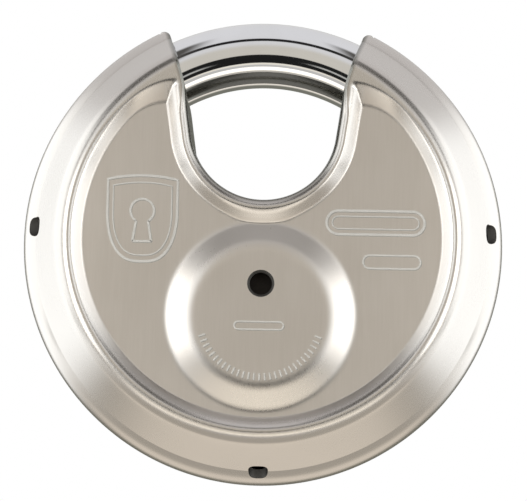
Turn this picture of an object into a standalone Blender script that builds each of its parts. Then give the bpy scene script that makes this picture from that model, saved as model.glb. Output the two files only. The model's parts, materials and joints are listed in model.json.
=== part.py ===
"""Disc padlock: a 70 mm pressed stainless body with a 9.5 mm bar shackle that turns about the disc's axis.

Frame: metres, +Z up. The disc stands upright with its axis along Y, the keyway faces +Y and the plain
rear face -Y. The origin is the point under the shackle's crown where a staple bears, in the mid-plane.
Shapes are made in millimetres in the disc's own coordinates (x right, y towards the keyway, z up, zero
at the disc's centre) and are scaled and placed once, by finish_piece.
"""
import math

import bmesh
import bpy
from mathutils import Vector

# ---------------------------------------------------------------- driving dimensions, millimetres
BODY_R = 35.0            # outer radius of the disc, at the mid-plane
HALF_THICK = 12.3        # mid-plane to the crown of either face
SHEET = 1.1              # thickness of both pressed shells
GAP = 0.3                # clearance left where two pieces touch
CROWN_FILLET = 2.4       # rounding between the rim's cone and the face
CUP_SLOPE = math.radians(32)     # the front cup's cone, measured from the disc's axis
CUP_EDGE = 4.6           # rounding of the front cup's edge at the mid-plane
CUP_CURL = math.radians(60)      # the cup's edge curls over this far before it meets the cover
COVER_SLOPE = math.radians(25.8)
COVER_EDGE = 1.3         # the rounding that the rear cover's cone would run into
CURL_INNER_R = 31.85     # the curl's edge is trimmed to this, clear of the shackle
SEAM_Y = -3.9            # plane where the rear cover meets the deeper front cup

PANEL_DEPTH = 10.9       # mid-plane to the recessed panel
PANEL_R = 25.7           # panel's outer radius
PANEL_TOP_Z = 19.3       # the panel stops here, below the horns
PANEL_DRAFT = 1.2        # sideways run of the panel's sloped wall for each millimetre of its height
HORN_DRAFT = 2.3         # the same, where the wall rises to the horns
LIP_FOOT = 2.95          # raised lip round the shackle opening: width at the panel
LIP_CREST = 1.3          # and at the crown
BOSS_Z = -11.2           # centre of the round boss over the cylinder
BOSS_DEPTH = 12.1        # mid-plane to the boss's flat top
BOSS_FOOT_R = 13.6
BOSS_TOP_R = 10.0

NOTCH_R = 10.45          # shackle opening: its round bottom
NOTCH_Z = 15.9           # centre of that round
NOTCH_CORNER = (11.45, 22.0)     # where the side walls turn outwards to the horns
HORN_TIP_ANGLE = math.radians(24.5)      # from the top of the disc to each horn's tip

ARC_R = 28.2             # shackle bar's centre line, about the disc's centre
BAR_R = 4.75             # 9.5 mm bar
BAR_CLEARANCE = 0.28     # round the bar where it passes the horns' end walls
FREE_END = math.radians(36)      # the bar's free end when closed, right of the top
ARC_LENGTH = math.radians(240)   # the bar's whole length, running left over the opening
SHACKLE_TURN = math.radians(62)  # from closed to open

PLUG_Z = -6.7            # axis of the plug
PLUG_R = 5.0
PLUG_FRONT = 11.4        # its face, just under the boss's top
PLUG_REAR = -5.2
PLUG_PLAY = 0.15         # radial play of the plug in its housing
TAIL_HALF = 2.0          # square tail that carries the driver cam
TAIL_END = -9.4
FACE_CHAMFER = 0.4
KEYWAY_WIDTH = 1.9
WARD_DEPTH = 0.6         # each ward narrows the keyway by this much
KEYWAY_TOP = 3.9         # above the plug's axis
KEYWAY_END = -3.9        # depth that the blade reaches
HOUSING_R = 7.6
HOUSING_FRONT = 8.2
CHAMBER_HALF_WIDTH = 3.8  # half width of the housing below the plug, where the pins are
HOUSING_FOOT_Z = -21.3
HOUSING_REAR = -5.2
STRIP_HALF_WIDTH = 1.9   # the strip that covers the chambers, and its groove
STRIP_ENDS = (-4.7, 7.7)

PIN_COUNT = 4
PIN_PITCH = 3.1
PIN_FIRST_Y = 6.0        # the pin nearest the key's bow
PIN_R = 1.15
CHAMBER_R = 1.32
KEY_PIN_LENGTHS = (2.1, 2.7, 1.9, 2.4)
DRIVER_LENGTH = 3.0
CHAMBER_FOOT_Z = -20.3   # the cover strip closes the chambers here
SPRING_WIRE_R = 0.16
SPRING_TURNS = 5
SPRING_POINTS = 10       # sections of wire in each turn
WIRE_SIDES = 4

CAM_FRONT = -5.7         # driver cam: a lever on the plug's tail, behind the housing
CAM_REAR = -8.3
CAM_HUB_R = 4.2
CAM_ROOT_HALF = 3.2      # half width of the lever at the plug, and its radius at the stud
CAM_TIP_R = 2.3
TAIL_PLAY = 0.12
CLIP_R = 3.2             # the clip behind the cam, sprung into a groove in the tail
CLIP_INNER_R = 1.7
CLIP_GROOVE_R = 1.55
CLIP_THICK = 0.4
STUD_ARC_R = 24.9        # the stud's distance from the disc's centre when it passes the bottom
STUD_R = 1.5
STUD_TIP_Y = -0.6
SLOT_PLAY = 0.4          # each side of the stud in the shackle's slot

GUIDE_R = 23.1           # the guide blocks' outer radius, the inner wall of the shackle's channel
GUIDE_HALF_THICK = 9.4
GUIDE_TOP_Z = 13.0       # the blocks stop below the horns
GUIDE_SPLIT = 0.2        # each block stays this far from the middle
STUD_ROOM_R = 21.5       # room for the swinging stud starts here
STOP_R = 1.6             # dowel that the shackle's free end seats against
STOP_HALF = 8.2
STOP_AHEAD = math.radians(6.5)
STOP_INSET = 1.5         # inside the bar's centre line
PLATE_R = 12.4           # hardened plate between the housing and the front shell
PLATE_Z = -9.9
PLATE_THICK = 0.9
SCREW_R = 0.7            # the plate's two small screws, either side of the plug
SCREW_X = 5.5
SCREW_DROP = 3.3
SCREW_FOOT_Y = 5.0
DRIVER_SLOT_HALF = 0.12
DRAIN_R = 1.6            # hole through the rear boss, in line with the plug
DRAIN_ANGLES = (math.radians(-86.8), math.radians(86.8), math.pi)    # slots punched across the seam
DRAIN_HALF_WIDTH = 1.42
DRAIN_HALF_HEIGHT = 1.3

RING_STEPS = 64
BAR_SIDES = 16
BAR_STEPS = 42

WELD = 0.002             # vertices closer than this are one
MM = 0.001
DISC_CENTRE = Vector((0.0, 0.0, -(ARC_R - BAR_R) * MM))
MIDDLE_TURN = SHACKLE_TURN / 2
STUD_LEVER = STUD_ARC_R + PLUG_Z


# ---------------------------------------------------------------- materials
def material(name, colour, roughness, metallic=1.0):
    mat = bpy.data.materials.new(name)
    mat.use_nodes = True
    shader = mat.node_tree.nodes["Principled BSDF"]
    shader.inputs["Base Color"].default_value = (*colour, 1.0)
    shader.inputs["Roughness"].default_value = roughness
    shader.inputs["Metallic"].default_value = metallic
    return mat


def make_materials():
    return {
        "shell": material("brushed_stainless", (0.62, 0.59, 0.55), 0.34),
        "shackle": material("polished_steel", (0.72, 0.73, 0.74), 0.12),
        "block": material("cast_zinc", (0.48, 0.49, 0.50), 0.55),
        "brass": material("brass", (0.72, 0.55, 0.27), 0.32),
        "nickel": material("nickel_plated_brass", (0.66, 0.62, 0.54), 0.28),
        "spring": material("spring_steel", (0.55, 0.56, 0.58), 0.30),
        "hard": material("hardened_steel", (0.27, 0.27, 0.29), 0.42),
        "cam": material("sintered_steel", (0.40, 0.40, 0.41), 0.50),
    }


# ---------------------------------------------------------------- making and cutting meshes
def new_object(name, bm):
    """An object from a bmesh in millimetres, linked to the scene."""
    bmesh.ops.recalc_face_normals(bm, faces=bm.faces)
    mesh = bpy.data.meshes.new(name)
    bm.to_mesh(mesh)
    bm.free()
    obj = bpy.data.objects.new(name, mesh)
    bpy.context.scene.collection.objects.link(obj)
    return obj


def lathe(name, profile, centre=(0.0, 0.0), steps=RING_STEPS):
    """Turn a closed profile of (radius, y) points about the line along Y through centre (x, z)."""
    bm = bmesh.new()
    rings = []
    for radius, y in profile:
        if radius < 1e-6:
            rings.append([bm.verts.new((centre[0], y, centre[1]))])
            continue
        ring = []
        for step in range(steps):
            turn = 2 * math.pi * step / steps
            x = centre[0] + radius * math.sin(turn)
            ring.append(bm.verts.new((x, y, centre[1] + radius * math.cos(turn))))
        rings.append(ring)
    for ring, following in zip(rings, rings[1:] + rings[:1]):
        if len(ring) == 1 and len(following) == 1:
            continue
        for step in range(steps):
            after = (step + 1) % steps
            corners = [ring[step % len(ring)], ring[after % len(ring)]]
            corners += [following[after % len(following)], following[step % len(following)]]
            bm.faces.new(list(dict.fromkeys(corners)))
    return new_object(name, bm)


def disc(name, radius, y_low, y_high, centre=(0.0, 0.0), steps=RING_STEPS, bore=0.0):
    """A plain disc along Y, or a ring if bore is given."""
    profile = [(bore, y_low), (radius, y_low), (radius, y_high), (bore, y_high)]
    return lathe(name, profile, centre, steps)


def loft(name, low_outline, low_y, high_outline, high_y):
    """A closed solid between two outlines of (x, z) points with equal counts, at two places along Y."""
    bm = bmesh.new()
    low = [bm.verts.new((x, low_y, z)) for x, z in low_outline]
    high = [bm.verts.new((x, high_y, z)) for x, z in high_outline]
    bm.faces.new(low)
    bm.faces.new(high)
    for i in range(len(low)):
        j = (i + 1) % len(low)
        bm.faces.new((low[i], low[j], high[j], high[i]))
    return new_object(name, bm)


def prism(name, outline, y_low, y_high):
    return loft(name, outline, y_low, outline, y_high)


def rectangle(x_low, x_high, z_low, z_high):
    return [(x_low, z_low), (x_high, z_low), (x_high, z_high), (x_low, z_high)]


def upright_pin(name, radii, y, steps=20):
    """A turned pin along Z at x 0, from a list of (radius, z) points."""
    bm = bmesh.new()
    rings = []
    for radius, z in radii:
        ring = []
        for step in range(steps):
            turn = 2 * math.pi * step / steps
            ring.append(bm.verts.new((radius * math.cos(turn), y + radius * math.sin(turn), z)))
        rings.append(ring)
    bm.faces.new(rings[0])
    bm.faces.new(rings[-1])
    for ring, following in zip(rings, rings[1:]):
        for step in range(steps):
            after = (step + 1) % steps
            bm.faces.new((ring[step], ring[after], following[after], following[step]))
    return new_object(name, bm)


def combine(target, others, operation):
    """Cut or join other objects into target with exact booleans, and remove them."""
    for other in others:
        modifier = target.modifiers.new(operation.lower(), "BOOLEAN")
        modifier.operation = operation
        modifier.solver = "EXACT"
        modifier.object = other
        bpy.context.view_layer.update()
        depsgraph = bpy.context.evaluated_depsgraph_get()
        result = bpy.data.meshes.new_from_object(target.evaluated_get(depsgraph))
        target.modifiers.remove(modifier)
        weld(result)
        old = target.data
        target.data = result
        bpy.data.meshes.remove(old)
        bpy.data.objects.remove(other)
    return target


def weld(mesh):
    """Close the hairline gaps that a boolean can leave."""
    bm = bmesh.new()
    bm.from_mesh(mesh)
    bmesh.ops.remove_doubles(bm, verts=bm.verts, dist=WELD)
    bmesh.ops.dissolve_degenerate(bm, dist=WELD, edges=bm.edges)
    bm.to_mesh(mesh)
    bm.free()


def cut(target, *others):
    return combine(target, others, "DIFFERENCE")


def join(target, *others):
    return combine(target, others, "UNION")


def keep(target, *others):
    return combine(target, others, "INTERSECT")


def finish_piece(obj, name, mat, parent, pivot=(0.0, 0.0), sharp=30.0):
    """Scale to metres, put the origin on the piece's axis, shade it and hang it on its empty."""
    obj.name = name
    mesh = obj.data
    mesh.name = name
    for vertex in mesh.vertices:
        vertex.co = (vertex.co - Vector((pivot[0], 0.0, pivot[1]))) * MM
    mesh.materials.clear()
    mesh.materials.append(mat)
    mesh.shade_smooth()
    mesh.set_sharp_from_angle(angle=math.radians(sharp))
    obj.parent = parent
    return obj


# ---------------------------------------------------------------- outlines
def half_profile(inset, edge, slope):
    """Half section of one side of the disc, offset inwards: face, crown fillet, cone and edge fillet."""
    edge_r = BODY_R - edge
    reach = edge - CROWN_FILLET - (HALF_THICK - CROWN_FILLET) * math.sin(slope)
    crown_r = edge_r + reach / math.cos(slope)
    points = [(0.0, HALF_THICK - inset)]
    for step in range(5):
        turn = math.pi / 2 + (slope - math.pi / 2) * step / 4
        radius = CROWN_FILLET - inset
        points.append((crown_r + radius * math.cos(turn),
                       HALF_THICK - CROWN_FILLET + radius * math.sin(turn)))
    for step in range(5):
        turn = slope * (1 - step / 4)
        radius = edge - inset
        points.append((edge_r + radius * math.cos(turn), radius * math.sin(turn)))
    return points


def body_profile(inset, front, rear):
    """The disc's section, from an (edge rounding, slope) pair for each side."""
    front_half = half_profile(inset, *front)
    rear_half = half_profile(inset, *rear)
    rear_half[-1] = front_half[-1]
    return front_half + [(r, -y) for r, y in reversed(rear_half[:-1])]


def notch_outline(grow):
    """The shackle opening's outline, offset outwards by grow: a round bottom and flared sides."""
    corner = Vector(NOTCH_CORNER)
    centre = Vector((0.0, NOTCH_Z))
    tip = Vector((BODY_R * math.sin(HORN_TIP_ANGLE), BODY_R * math.cos(HORN_TIP_ANGLE)))
    away = corner - centre
    flare = math.atan2(away.y, away.x) - math.acos(NOTCH_R / away.length)
    side_normal = Vector((math.cos(flare), math.sin(flare)))
    horn_run = (tip - corner).normalized()
    horn_normal = Vector((horn_run.y, -horn_run.x))
    mitre = (side_normal + horn_normal) / (1 + side_normal.dot(horn_normal))
    right = []
    steps = 12
    for step in range(steps + 1):
        turn = -math.pi / 2 + (flare + math.pi / 2) * step / steps
        right.append(centre + (NOTCH_R + grow) * Vector((math.cos(turn), math.sin(turn))))
    right.append(corner + grow * mitre)
    right.append(tip + horn_normal * grow + horn_run * 12.0)
    left = [Vector((-p.x, p.y)) for p in reversed(right[1:])]
    return [(p.x, p.y) for p in right + left]


def on_arc(radius, angle):
    """A point (x, z) at an angle from the disc's top, towards +X."""
    return radius * math.sin(angle), radius * math.cos(angle)


# ---------------------------------------------------------------- pressed shells
def face_recess(side, inset):
    """What the press leaves low on one face: the panel, without the lip, the horns and the boss."""
    low = PANEL_DEPTH - inset
    high = HALF_THICK + 2.0
    rise = high - low
    recess = lathe("recess", [
        (0.0, side * low), (PANEL_R, side * low),
        (PANEL_R + rise * PANEL_DRAFT, side * high), (0.0, side * high)])
    crest = HALF_THICK - inset
    lip_run = (LIP_FOOT - LIP_CREST) / (crest - low)
    foot = notch_outline(LIP_FOOT + lip_run * 0.5)
    top = notch_outline(LIP_FOOT - lip_run * (rise + 0.1))
    lip = loft("lip", foot, side * (low - 0.5), top, side * (high + 0.1))
    horn_low = PANEL_TOP_Z - 0.5 * HORN_DRAFT
    horn_high = PANEL_TOP_Z + (rise + 0.1) * HORN_DRAFT
    horns = loft("horns",
                 rectangle(-40.0, 40.0, horn_low, 60.0), side * (low - 0.5),
                 rectangle(-40.0, 40.0, horn_high, 60.0), side * (high + 0.1))
    top_depth = BOSS_DEPTH - inset
    spread = (BOSS_FOOT_R - BOSS_TOP_R) / (BOSS_DEPTH - PANEL_DEPTH)
    boss = lathe("boss", [
        (0.0, side * (low - 0.5)), (BOSS_FOOT_R + 0.5 * spread, side * (low - 0.5)),
        (BOSS_TOP_R, side * top_depth), (0.0, side * top_depth)], (0.0, BOSS_Z))
    return cut(recess, lip, horns, boss)


def pressed_solid(inset, front, rear):
    """The whole disc as one solid, offset inwards by inset, with both faces pressed and the opening cut."""
    solid = lathe("solid", body_profile(inset, front, rear))
    opening = prism("opening", notch_outline(inset), -20.0, 20.0)
    return cut(solid, face_recess(-1, inset), face_recess(1, inset), opening)


def bar_tube(name, radius, start, length, steps, chamfer=0.0):
    """A round bar bent to an arc about the disc's axis, from start (right of the top) running left."""
    bm = bmesh.new()
    end = chamfer / ARC_R
    stations = [(end + (length - 2 * end) * step / steps, radius) for step in range(steps + 1)]
    if chamfer:
        stations = [(0.0, radius - chamfer)] + stations + [(length, radius - chamfer)]
    rings = []
    for travel, reach in stations:
        x, z = on_arc(1.0, start - travel)
        ring = []
        for side in range(BAR_SIDES):
            turn = 2 * math.pi * side / BAR_SIDES
            distance = ARC_R + reach * math.cos(turn)
            ring.append(bm.verts.new((distance * x, reach * math.sin(turn), distance * z)))
        rings.append(ring)
    bm.faces.new(rings[0])
    bm.faces.new(rings[-1])
    for ring, following in zip(rings, rings[1:]):
        for side in range(BAR_SIDES):
            after = (side + 1) % BAR_SIDES
            bm.faces.new((ring[side], ring[after], following[after], following[side]))
    return new_object(name, bm)


def hollow_body(front, rear):
    """A whole hollow disc, with the horns' end walls bored for the bar."""
    shell = cut(pressed_solid(0.0, front, rear), pressed_solid(SHEET, front, rear))
    reach = math.radians(44)
    bore = bar_tube("bore", BAR_R + BAR_CLEARANCE, reach, 2 * reach, 20)
    return cut(shell, bore)


def drain_punch(angle):
    """A rounded punch along a radius, across the seam."""
    bm = bmesh.new()
    rings = []
    steps = 16
    for distance in (30.5, BODY_R + 2.0):
        x, z = on_arc(distance, angle)
        ring = []
        for step in range(steps):
            turn = 2 * math.pi * step / steps
            wide = DRAIN_HALF_WIDTH * math.cos(turn)
            high = DRAIN_HALF_HEIGHT * math.sin(turn)
            ring.append(bm.verts.new((x + wide * math.cos(angle), SEAM_Y + high, z - wide * math.sin(angle))))
        rings.append(ring)
        bm.faces.new(ring)
    for step in range(steps):
        after = (step + 1) % steps
        bm.faces.new((rings[0][step], rings[0][after], rings[1][after], rings[1][step]))
    return new_object("drain", bm)


def make_shells(mats, root):
    around = rectangle(-50.0, 50.0, -50.0, 50.0)
    cover_side = (COVER_EDGE, COVER_SLOPE)
    rear = hollow_body(cover_side, cover_side)
    keep(rear, prism("rear_side", around, -30.0, SEAM_Y - GAP / 2))
    cut(rear, *(drain_punch(angle) for angle in DRAIN_ANGLES))
    cut(rear, disc("drain_hole", DRAIN_R, -20.0, -5.0, (0.0, PLUG_Z), 24))
    finish_piece(rear, "rear_shell", mats["shell"], root)
    front = hollow_body((CUP_EDGE, CUP_SLOPE), (CUP_EDGE, CUP_CURL))
    keep(front, prism("front_side", around, SEAM_Y + GAP / 2, 30.0))
    cut(front, *(drain_punch(angle) for angle in DRAIN_ANGLES))
    cut(front, disc("curl_relief", CURL_INNER_R, SEAM_Y - 1.0, SEAM_Y + 0.8, bore=ARC_R))
    cut(front, disc("plug_hole", PLUG_R + 0.28, 5.0, 20.0, (0.0, PLUG_Z), 48))
    finish_piece(front, "front_shell", mats["shell"], root)


# ---------------------------------------------------------------- shackle
def make_shackle(mats, carrier):
    bar = bar_tube("bar", BAR_R, FREE_END, ARC_LENGTH, BAR_STEPS, chamfer=1.0)
    slot_angle = math.pi + MIDDLE_TURN
    out = Vector((math.sin(slot_angle), math.cos(slot_angle)))
    across = Vector((out.y, -out.x))
    half = STUD_R + SLOT_PLAY
    inner = ARC_R - BAR_R - 1.5
    outer = STUD_ARC_R + STUD_R + SLOT_PLAY
    corners = [out * inner + across * half, out * inner - across * half,
               out * outer - across * half, out * outer + across * half]
    slot = prism("slot", [(c.x, c.y) for c in corners], -BAR_R - 1.0, STUD_TIP_Y + 0.6)
    cut(bar, slot)
    finish_piece(bar, "shackle", mats["shackle"], carrier)


# ---------------------------------------------------------------- lock cylinder
def pin_places():
    return [PIN_FIRST_Y - PIN_PITCH * index for index in range(PIN_COUNT)]


def make_housing(mats, root):
    barrel = disc("barrel", HOUSING_R, HOUSING_REAR, HOUSING_FRONT, (0.0, PLUG_Z), 48)
    chest = prism("chest", rectangle(-CHAMBER_HALF_WIDTH, CHAMBER_HALF_WIDTH, HOUSING_FOOT_Z, PLUG_Z),
                  HOUSING_REAR, HOUSING_FRONT)
    join(barrel, chest)
    cut(barrel, disc("bore", PLUG_R + PLUG_PLAY, -20.0, 20.0, (0.0, PLUG_Z), 48))
    for y in pin_places():
        cut(barrel, upright_pin("chamber", [(CHAMBER_R, HOUSING_FOOT_Z - 1), (CHAMBER_R, PLUG_Z)], y))
    low, high = STRIP_ENDS
    half = STRIP_HALF_WIDTH + GAP
    groove = rectangle(-half, half, HOUSING_FOOT_Z - 1, CHAMBER_FOOT_Z)
    cut(barrel, prism("groove", groove, low - GAP, high + GAP))
    for place in screw_places():
        cut(barrel, disc("screw_hole", SCREW_R + 0.15, SCREW_FOOT_Y - 0.4, HOUSING_FRONT + 1.0, place, 16))
    finish_piece(barrel, "cylinder_housing", mats["brass"], root)
    cover = rectangle(-STRIP_HALF_WIDTH, STRIP_HALF_WIDTH, HOUSING_FOOT_Z, CHAMBER_FOOT_Z - 0.1)
    finish_piece(prism("strip", cover, low, high), "chamber_cover", mats["spring"], root)


def screw_places():
    return [(-SCREW_X, PLUG_Z - SCREW_DROP), (SCREW_X, PLUG_Z - SCREW_DROP)]


def make_plate(mats, root):
    rear = HOUSING_FRONT + GAP
    plate = disc("plate", PLATE_R, rear, rear + PLATE_THICK, (0.0, PLATE_Z), 48)
    cut(plate, disc("plug_hole", PLUG_R + 0.3, 0.0, 20.0, (0.0, PLUG_Z), 48))
    front = rear + PLATE_THICK
    for index, place in enumerate(screw_places(), start=1):
        cut(plate, disc("screw_hole", SCREW_R + 0.4, 0.0, 20.0, place, 16))
        screw = lathe("screw", [
            (0.0, SCREW_FOOT_Y), (SCREW_R, SCREW_FOOT_Y), (SCREW_R, rear + 0.1),
            (SCREW_R + 0.1, front + 0.1), (0.0, front + 0.1)], place, 16)
        slot = rectangle(place[0] - 2, place[0] + 2, place[1] - DRIVER_SLOT_HALF, place[1] + DRIVER_SLOT_HALF)
        cut(screw, prism("driver_slot", slot, front - 0.25, front + 1.0))
        finish_piece(screw, f"plate_screw_{index}", mats["spring"], root)
    finish_piece(plate, "anti_drill_plate", mats["hard"], root)


def keyway_outline():
    """A warded keyway: a slot with a ward on each side, open through the plug's pin side."""
    half = KEYWAY_WIDTH / 2
    inner = half - WARD_DEPTH
    top = KEYWAY_TOP
    foot = -PLUG_R - 1.0
    left = [(-half, top), (-half, 1.6), (-inner, 1.2), (-inner, 0.2), (-half, -0.2), (-half, foot)]
    right = [(half, foot), (half, -1.0), (inner, -0.6), (inner, 0.6), (half, 1.0), (half, top)]
    return [(x, PLUG_Z + z) for x, z in left + right]


def make_plug(mats, carrier):
    pivot = (0.0, PLUG_Z)
    plug = lathe("plug", [
        (0.0, PLUG_REAR), (PLUG_R, PLUG_REAR), (PLUG_R, PLUG_FRONT - FACE_CHAMFER),
        (PLUG_R - FACE_CHAMFER, PLUG_FRONT), (0.0, PLUG_FRONT)], pivot, 48)
    tail = prism("tail", rectangle(-TAIL_HALF, TAIL_HALF, PLUG_Z - TAIL_HALF, PLUG_Z + TAIL_HALF),
                 TAIL_END, PLUG_REAR + 1.0)
    join(plug, tail)
    clip_rear = CAM_REAR - 0.25 - CLIP_THICK
    groove = disc("groove", CLIP_R + 1.0, clip_rear - 0.1, clip_rear + CLIP_THICK + 0.1, pivot, 24,
                  bore=CLIP_GROOVE_R)
    cut(plug, groove, prism("keyway", keyway_outline(), KEYWAY_END, 20.0))
    for y in pin_places():
        cut(plug, upright_pin("pin_hole", [(CHAMBER_R, PLUG_Z - 8.0), (CHAMBER_R, PLUG_Z - 1.2)], y))
    finish_piece(plug, "plug", mats["nickel"], carrier, pivot)


def make_pins(mats, root, carrier):
    shear = PLUG_Z - PLUG_R
    for index, (y, length) in enumerate(zip(pin_places(), KEY_PIN_LENGTHS), start=1):
        foot = shear + 0.12
        key_pin = upright_pin("pin", [
            (PIN_R - 0.35, foot), (PIN_R, foot + 0.3), (PIN_R, foot + length - 0.6),
            (0.35, foot + length)], y)
        finish_piece(key_pin, f"key_pin_{index}", mats["brass"], carrier, (0.0, PLUG_Z))
        head = shear - 0.3
        driver = upright_pin("pin", [
            (PIN_R - 0.2, head - DRIVER_LENGTH), (PIN_R, head - DRIVER_LENGTH + 0.2),
            (PIN_R, head - 0.25), (PIN_R - 0.25, head)], y)
        finish_piece(driver, f"driver_pin_{index}", mats["nickel"], root)
        spring = coil(y, CHAMBER_FOOT_Z + 0.3, head - DRIVER_LENGTH - 0.15)
        finish_piece(spring, f"pin_spring_{index}", mats["spring"], root, sharp=60.0)


def coil(y, foot, head):
    """A compression spring along Z: a round wire on a helix, with flat ends."""
    bm = bmesh.new()
    steps = SPRING_TURNS * SPRING_POINTS
    coil_r = PIN_R - SPRING_WIRE_R
    rise = (head - foot - 2 * SPRING_WIRE_R) / steps
    rings = []
    for step in range(steps + 1):
        turn = 2 * math.pi * step / SPRING_POINTS
        outward = Vector((math.cos(turn), math.sin(turn), 0.0))
        run = Vector((-coil_r * math.sin(turn), coil_r * math.cos(turn), rise * SPRING_POINTS / (2 * math.pi)))
        across = run.normalized().cross(outward)
        centre = outward * coil_r + Vector((0.0, y, foot + SPRING_WIRE_R + rise * step))
        ring = []
        for side in range(WIRE_SIDES):
            roll = 2 * math.pi * side / WIRE_SIDES
            ring.append(bm.verts.new(
                centre + SPRING_WIRE_R * (outward * math.cos(roll) + across * math.sin(roll))))
        rings.append(ring)
    bm.faces.new(rings[0])
    bm.faces.new(rings[-1])
    for ring, following in zip(rings, rings[1:]):
        for side in range(WIRE_SIDES):
            after = (side + 1) % WIRE_SIDES
            bm.faces.new((ring[side], ring[after], following[after], following[side]))
    return new_object("coil", bm)


# ---------------------------------------------------------------- drive
def make_cam(mats, carrier):
    """Lever on the plug's tail. Its stud runs in the shackle's slot, so the two turn together."""
    pivot = Vector((0.0, PLUG_Z))
    slot_angle = math.pi + MIDDLE_TURN
    swing = MIDDLE_TURN + math.asin(-PLUG_Z * math.sin(MIDDLE_TURN) / STUD_LEVER)
    out = Vector((-math.sin(swing), -math.cos(swing)))
    across = Vector((out.y, -out.x))
    stud = pivot + out * STUD_LEVER
    hub = disc("hub", CAM_HUB_R, CAM_REAR, CAM_FRONT, (0.0, PLUG_Z), 36)
    arm_corners = [pivot + across * CAM_ROOT_HALF, pivot - across * CAM_ROOT_HALF,
                   stud - across * CAM_TIP_R, stud + across * CAM_TIP_R]
    arm = prism("arm", [(c.x, c.y) for c in arm_corners], CAM_REAR, CAM_FRONT)
    tip = disc("tip", CAM_TIP_R, CAM_REAR, CAM_FRONT, (stud.x, stud.y), 24)
    peg = disc("peg", STUD_R, CAM_FRONT - 0.5, STUD_TIP_Y, (stud.x, stud.y), 24)
    join(hub, arm, tip, peg)
    half = TAIL_HALF + TAIL_PLAY
    cut(hub, prism("tail_hole", rectangle(-half, half, PLUG_Z - half, PLUG_Z + half), -20.0, 0.0))
    finish_piece(hub, "driver_cam", mats["cam"], carrier, (0.0, PLUG_Z))
    clip_rear = CAM_REAR - 0.25 - CLIP_THICK
    clip = disc("clip", CLIP_R, clip_rear, clip_rear + CLIP_THICK, (0.0, PLUG_Z), 32, bore=CLIP_INNER_R)
    mouth = CLIP_INNER_R - 0.1
    cut(clip, prism("mouth", rectangle(-mouth, mouth, PLUG_Z, PLUG_Z + 9.0), -20.0, 0.0))
    finish_piece(clip, "cam_clip", mats["spring"], carrier, (0.0, PLUG_Z))


# ---------------------------------------------------------------- guide blocks and stop
def make_guides(mats, root):
    """Two cast blocks fill the body inside the shackle's channel and carry the cylinder between them."""
    around = 40.0
    chest_half = CHAMBER_HALF_WIDTH + GAP
    for name, side in (("left_guide_block", -1), ("right_guide_block", 1)):
        block = disc("block", GUIDE_R, -GUIDE_HALF_THICK, HOUSING_FRONT)
        other_half = rectangle(*sorted((-around * side, GUIDE_SPLIT * side)), -around, around)
        chest_room = rectangle(-chest_half, chest_half, -around, PLUG_Z)
        cut(block,
            prism("other_half", other_half, -20.0, 20.0),
            prism("opening", notch_outline(SHEET + GAP), -20.0, 20.0),
            prism("horn_room", rectangle(-around, around, GUIDE_TOP_Z, around), -20.0, 20.0),
            disc("barrel_room", HOUSING_R + GAP, -20.0, 20.0, (0.0, PLUG_Z), 48),
            prism("chest_room", chest_room, -20.0, 20.0),
            disc("cam_room", STUD_LEVER + 3.0, -20.0, CAM_FRONT + 0.4, (0.0, PLUG_Z), 48),
            disc("stud_room", around, CAM_FRONT - 1.0, STUD_TIP_Y + 0.4, bore=STUD_ROOM_R))
        finish_piece(block, name, mats["block"], root)


def make_stop(mats, root):
    """A dowel across the channel in the right horn: the shackle's free end seats against it."""
    place = on_arc(ARC_R - STOP_INSET, FREE_END + STOP_AHEAD)
    stop = disc("stop", STOP_R, -STOP_HALF, STOP_HALF, place, 20)
    finish_piece(stop, "shackle_stop_pin", mats["hard"], root)


# ---------------------------------------------------------------- assembly
def empty(name, location, parent=None):
    obj = bpy.data.objects.new(name, None)
    obj.location = location
    obj.parent = parent
    bpy.context.scene.collection.objects.link(obj)
    return obj


def main():
    for obj in list(bpy.data.objects):
        bpy.data.objects.remove(obj)
    mats = make_materials()
    disc_axis = empty("disc_axis", DISC_CENTRE)
    shackle_axis = empty("shackle_axis", (0.0, 0.0, 0.0), disc_axis)
    plug_axis = empty("plug_axis", (0.0, 0.0, PLUG_Z * MM), disc_axis)
    make_shells(mats, disc_axis)
    make_shackle(mats, shackle_axis)
    make_guides(mats, disc_axis)
    make_stop(mats, disc_axis)
    make_housing(mats, disc_axis)
    make_plate(mats, disc_axis)
    make_plug(mats, plug_axis)
    make_pins(mats, disc_axis, plug_axis)
    make_cam(mats, plug_axis)


main()
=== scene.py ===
"""Looks of the disc padlock: fine pressed shells, the polished shackle, finishes, light and camera.

Shapes are worked out in millimetres in the disc's own coordinates: x right, z up, zero at the disc's
centre, and depth measured from the mid-plane towards the face being made. place() puts them in the frame.
"""
import json
import math

import bmesh
import bpy
import numpy as np
from mathutils import Matrix, Vector


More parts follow.
